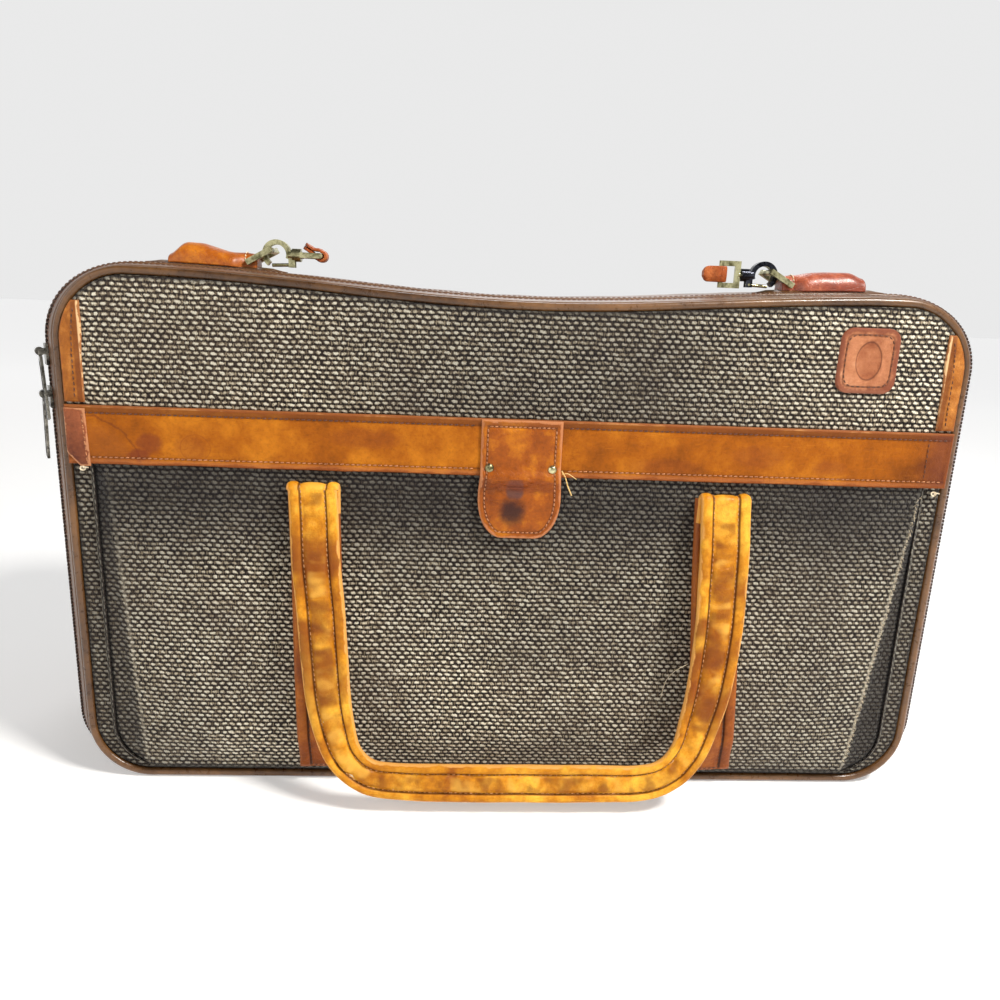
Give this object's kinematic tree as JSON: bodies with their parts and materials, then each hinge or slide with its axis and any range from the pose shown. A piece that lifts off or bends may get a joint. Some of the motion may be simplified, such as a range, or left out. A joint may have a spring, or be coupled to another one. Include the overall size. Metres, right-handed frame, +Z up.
{
  "type": "softside suitcase",
  "caption": "Landscape soft-sided case in woven cloth with leather band, piping, zip-round lid, carry handles, snap tab and top strap hooks.",
  "frame": {"origin": "centre of the case on its base face, midway between the cloth of the front and back panels", "axes": "+Z up, +X to the right along the case's length, -Y out of the front, where the lid and pocket are"},
  "size_m": [0.6007, 0.2839, 0.3548],
  "materials": {
    "tweed": "chunky woven cloth",
    "gusset": "smooth tan leathercloth",
    "piping": "smooth rolled piping",
    "tan_leather": "worn belting leather",
    "handle_leather": "worn belting leather",
    "brown_leather": "burnished leather",
    "lining": "plain lining cloth",
    "board": "pressed fibre board",
    "wire": "spring wire",
    "zip_tape": "woven tape",
    "zip_teeth": "nylon coil",
    "brass": "aged brass plate",
    "dark_metal": "dark polished steel",
    "pull_metal": "worn plate",
    "core": "firm foam"
  },
  "bodies": {
    "shell": {"shell_gusset": "gusset", "base_panel": "gusset", "back_panel": "tweed", "back_board": "board", "base_board": "board", "lining_walls": "lining", "lining_back": "lining", "rear_piping": "piping", "rear_frame_wire": "wire", "shell_zip_tape": "zip_tape", "shell_zip_teeth": "zip_teeth", "rear_handle_straps": "handle_leather", "hood_left": "brown_leather", "hood_right": "brown_leather"},
    "lid": {"lid_gusset": "gusset", "lid_base": "gusset", "front_panel": "tweed", "upper_panel": "tweed", "front_board": "board", "lid_lining": "lining", "front_piping": "piping", "front_frame_wire": "wire", "lid_zip_tape": "zip_tape", "lid_zip_teeth": "zip_teeth", "pocket_panel": "tweed", "pocket_band": "tan_leather", "side_trim_left": "tan_leather", "side_trim_right": "tan_leather", "badge": "tan_leather", "front_handle_straps": "handle_leather", "tab_top": "tan_leather", "tab_rivets": "brass", "snap_socket": "brass"},
    "tab": {"tab_flap": "tan_leather", "snap_stud": "brass"},
    "front_loop": {"front_handle": "handle_leather", "front_handle_core": "core"},
    "rear_loop": {"rear_handle": "handle_leather", "rear_handle_core": "core"},
    "left_ring": {"ring_left": "brass"},
    "left_hook": {"hook_left": "dark_metal"},
    "left_gate": {"gate_left": "dark_metal"},
    "left_eye": {"eye_left": "brass"},
    "left_strap_end": {"strap_end_left": "brown_leather"},
    "right_ring": {"ring_right": "brass"},
    "right_hook": {"hook_right": "dark_metal"},
    "right_gate": {"gate_right": "dark_metal"},
    "right_eye": {"eye_right": "brass"},
    "right_strap_end": {"strap_end_right": "brown_leather"},
    "upper_slider": {"slider_high": "brass"},
    "lower_slider": {"slider_low": "brass"},
    "upper_pull": {"pull_high": "pull_metal"},
    "lower_pull": {"pull_low": "pull_metal"}
  },
  "joints": [
    {"name": "lid_fold", "type": "hinge", "parent": "shell", "child": "lid", "pos_m": [0, -0.082, 0], "axis": [1, 0, 0], "range_deg": [0, 175]},
    {"name": "front_handle_lift", "type": "hinge", "parent": "lid", "child": "front_loop", "pos_m": [0, -0.1127, 0.211], "axis": [-1, 0, 0], "range_deg": [0, 165]},
    {"name": "rear_handle_lift", "type": "hinge", "parent": "shell", "child": "rear_loop", "pos_m": [0, 0.108, 0.211], "axis": [1, 0, 0], "range_deg": [0, 165]},
    {"name": "tab_lift", "type": "hinge", "parent": "lid", "child": "tab", "pos_m": [0, -0.1091, 0.2188], "axis": [-1, 0, 0], "range_deg": [0, 120]},
    {"name": "left_ring_tilt", "type": "hinge", "parent": "shell", "child": "left_ring", "pos_m": [-0.172, -0.058, 0.34038], "axis": [0, -1, 0], "range_deg": [0, 45]},
    {"name": "left_hook_tilt", "type": "hinge", "parent": "left_ring", "child": "left_hook", "pos_m": [-0.1595, -0.058, 0.34738], "axis": [0, -1, 0], "range_deg": [0, 40]},
    {"name": "left_gate_push", "type": "hinge", "parent": "left_hook", "child": "left_gate", "pos_m": [-0.1472, -0.058, 0.33938], "axis": [0, 1, 0], "range_deg": [0, 18], "stiffness_Nm_per_rad": 0.02, "springref_deg": -20.05},
    {"name": "left_eye_swivel", "type": "hinge", "parent": "left_hook", "child": "left_eye", "pos_m": [-0.142, -0.058, 0.34538], "axis": [-1, 0, 0], "continuous": true},
    {"name": "right_ring_tilt", "type": "hinge", "parent": "shell", "child": "right_ring", "pos_m": [0.172, -0.058, 0.34038], "axis": [0, 1, 0], "range_deg": [0, 45]},
    {"name": "right_hook_tilt", "type": "hinge", "parent": "right_ring", "child": "right_hook", "pos_m": [0.1595, -0.058, 0.34738], "axis": [0, 1, 0], "range_deg": [0, 40]},
    {"name": "right_gate_push", "type": "hinge", "parent": "right_hook", "child": "right_gate", "pos_m": [0.1472, -0.058, 0.33938], "axis": [0, -1, 0], "range_deg": [0, 18], "stiffness_Nm_per_rad": 0.02, "springref_deg": -20.05},
    {"name": "right_eye_swivel", "type": "hinge", "parent": "right_hook", "child": "right_eye", "pos_m": [0.142, -0.058, 0.34538], "axis": [1, 0, 0], "continuous": true},
    {"name": "left_strap_fold", "type": "hinge", "parent": "left_eye", "child": "left_strap_end", "pos_m": [-0.1286, -0.058, 0.34538], "axis": [0, 1, 0], "range_deg": [0, 150]},
    {"name": "right_strap_swing", "type": "hinge", "parent": "right_eye", "child": "right_strap_end", "pos_m": [0.1286, -0.058, 0.34538], "axis": [0, 0, 1], "range_deg": [-60, 60]},
    {"name": "upper_slider_travel", "type": "slide", "parent": "shell", "child": "upper_slider", "axis": [0, 0, 1], "range_m": [0, 0.0025]},
    {"name": "lower_slider_travel", "type": "slide", "parent": "shell", "child": "lower_slider", "axis": [0, 0, 1], "range_m": [-0.2, 0]},
    {"name": "upper_pull_swing", "type": "hinge", "parent": "upper_slider", "child": "upper_pull", "pos_m": [-0.29556, -0.08451, 0.2817], "axis": [-0.545, 0.8384, 0], "range_deg": [0, 150]},
    {"name": "lower_pull_swing", "type": "hinge", "parent": "lower_slider", "child": "lower_pull", "pos_m": [-0.29556, -0.08451, 0.2557], "axis": [-0.545, 0.8384, 0], "range_deg": [0, 150]}
  ]
}
